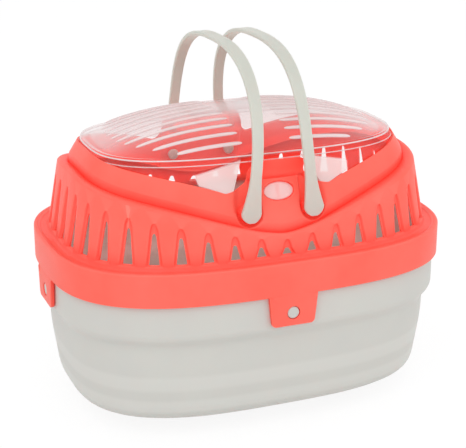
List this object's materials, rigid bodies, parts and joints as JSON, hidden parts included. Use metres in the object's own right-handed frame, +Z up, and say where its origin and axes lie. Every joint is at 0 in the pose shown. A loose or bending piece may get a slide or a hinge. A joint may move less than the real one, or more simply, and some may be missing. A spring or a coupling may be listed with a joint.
{
  "type": "small animal carrier",
  "caption": "Clip-together plastic carrier for a small pet, with a vented upper shell, a clear hinged dome lid and arched carrying handles that fold down.",
  "frame": {"origin": "centre of the flat base, on the surface that the carrier stands on", "axes": "+Z up, +X along the length, -Y out of the front, where the piers' pads and the front snap tab face"},
  "size_m": [0.3008, 0.2178, 0.2735],
  "materials": {
    "tub": "satin moulded polypropylene, warm light grey",
    "upper_shell": "satin moulded polypropylene, coral",
    "lid": "clear polystyrene, glossy dome with raised ribs",
    "handle": "satin moulded polypropylene, warm light grey"
  },
  "bodies": {
    "carrier": {"tub": "tub", "upper_shell": "upper_shell"},
    "lid": {"lid": "lid"},
    "handle_left": {"handle_left": "handle"},
    "handle_right": {"handle_right": "handle"}
  },
  "joints": [
    {"name": "lid_hinge", "type": "hinge", "parent": "carrier", "child": "lid", "pos_m": [0, 0.0698, 0.1995], "axis": [-1, 0, 0], "range_deg": [0, 15]},
    {"name": "handle_left_fold", "type": "hinge", "parent": "carrier", "child": "handle_left", "pos_m": [-0.0237, 0, 0.165], "axis": [0, -1, 0], "range_deg": [0, 77]},
    {"name": "handle_right_fold", "type": "hinge", "parent": "carrier", "child": "handle_right", "pos_m": [0.0237, 0, 0.165], "axis": [0, 1, 0], "range_deg": [0, 77]}
  ]
}
